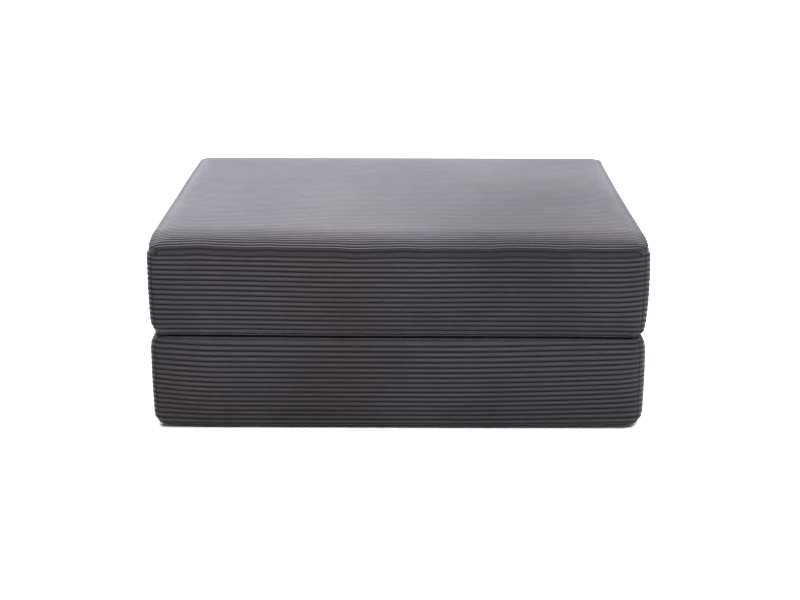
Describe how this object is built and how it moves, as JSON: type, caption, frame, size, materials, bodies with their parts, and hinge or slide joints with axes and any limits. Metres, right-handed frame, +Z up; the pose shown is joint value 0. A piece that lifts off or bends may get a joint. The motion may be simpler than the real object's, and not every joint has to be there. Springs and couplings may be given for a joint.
{
  "type": "fold-out ottoman guest bed",
  "caption": "Foam guest bed in wide corduroy covers, folded up as a low ottoman; the upper cushion swings over on a cloth hinge to lie beside the lower one.",
  "frame": {"origin": "middle of the flat base, on the floor it rests on", "axes": "+X to the right along the long side, from the hinged short side to the free one; +Y to the back, where the zips are; +Z up"},
  "size_m": [0.95, 0.7643, 0.367],
  "materials": {
    "corduroy": "wide-wale corduroy with a soft pile, charcoal grey, silvery at a grazing angle",
    "foam": "open-cell polyurethane foam, cream",
    "zip_tape": "woven polyester tape, charcoal",
    "zip_coil": "nylon coil teeth, dark grey",
    "zip_metal": "gunmetal plated zip fittings"
  },
  "bodies": {
    "lower_cushion": {"lower_foam_core": "foam", "lower_outer_panel": "corduroy", "lower_sleeping_panel": "corduroy", "lower_front_border": "corduroy", "lower_left_border": "corduroy", "lower_right_border": "corduroy", "lower_rear_border_outer_strip": "corduroy", "lower_rear_border_fold_strip": "corduroy", "lower_zip_tapes": "zip_tape", "lower_zip_chain": "zip_coil", "lower_zip_stops": "zip_metal", "hinge_strip": "corduroy"},
    "upper_cushion": {"upper_foam_core": "foam", "upper_outer_panel": "corduroy", "upper_sleeping_panel": "corduroy", "upper_front_border": "corduroy", "upper_left_border": "corduroy", "upper_right_border": "corduroy", "upper_rear_border_outer_strip": "corduroy", "upper_rear_border_fold_strip": "corduroy", "upper_zip_tapes": "zip_tape", "upper_zip_chain": "zip_coil", "upper_zip_stops": "zip_metal"},
    "lower_slider": {"lower_zip_slider": "zip_metal"},
    "lower_pull": {"lower_zip_pull": "zip_metal"},
    "upper_slider": {"upper_zip_slider": "zip_metal"},
    "upper_pull": {"upper_zip_pull": "zip_metal"}
  },
  "joints": [
    {"name": "unfold", "type": "hinge", "parent": "lower_cushion", "child": "upper_cushion", "pos_m": [-0.4753, 0, 0.1835], "axis": [0, -1, 0], "range_deg": [0, 180], "deforming": ["hinge_strip"]},
    {"name": "lower_zip_slide", "type": "slide", "parent": "lower_cushion", "child": "lower_slider", "axis": [-1, 0, 0], "range_m": [0, 0.8014]},
    {"name": "upper_zip_slide", "type": "slide", "parent": "upper_cushion", "child": "upper_slider", "axis": [-1, 0, 0], "range_m": [0, 0.8014]},
    {"name": "lower_pull_swing", "type": "hinge", "parent": "lower_slider", "child": "lower_pull", "pos_m": [0.4007, 0.38185, 0.0915], "axis": [0, 0, -1], "range_deg": [0, 180]},
    {"name": "upper_pull_swing", "type": "hinge", "parent": "upper_slider", "child": "upper_pull", "pos_m": [0.4007, 0.38185, 0.2705], "axis": [0, 0, -1], "range_deg": [0, 180]}
  ]
}
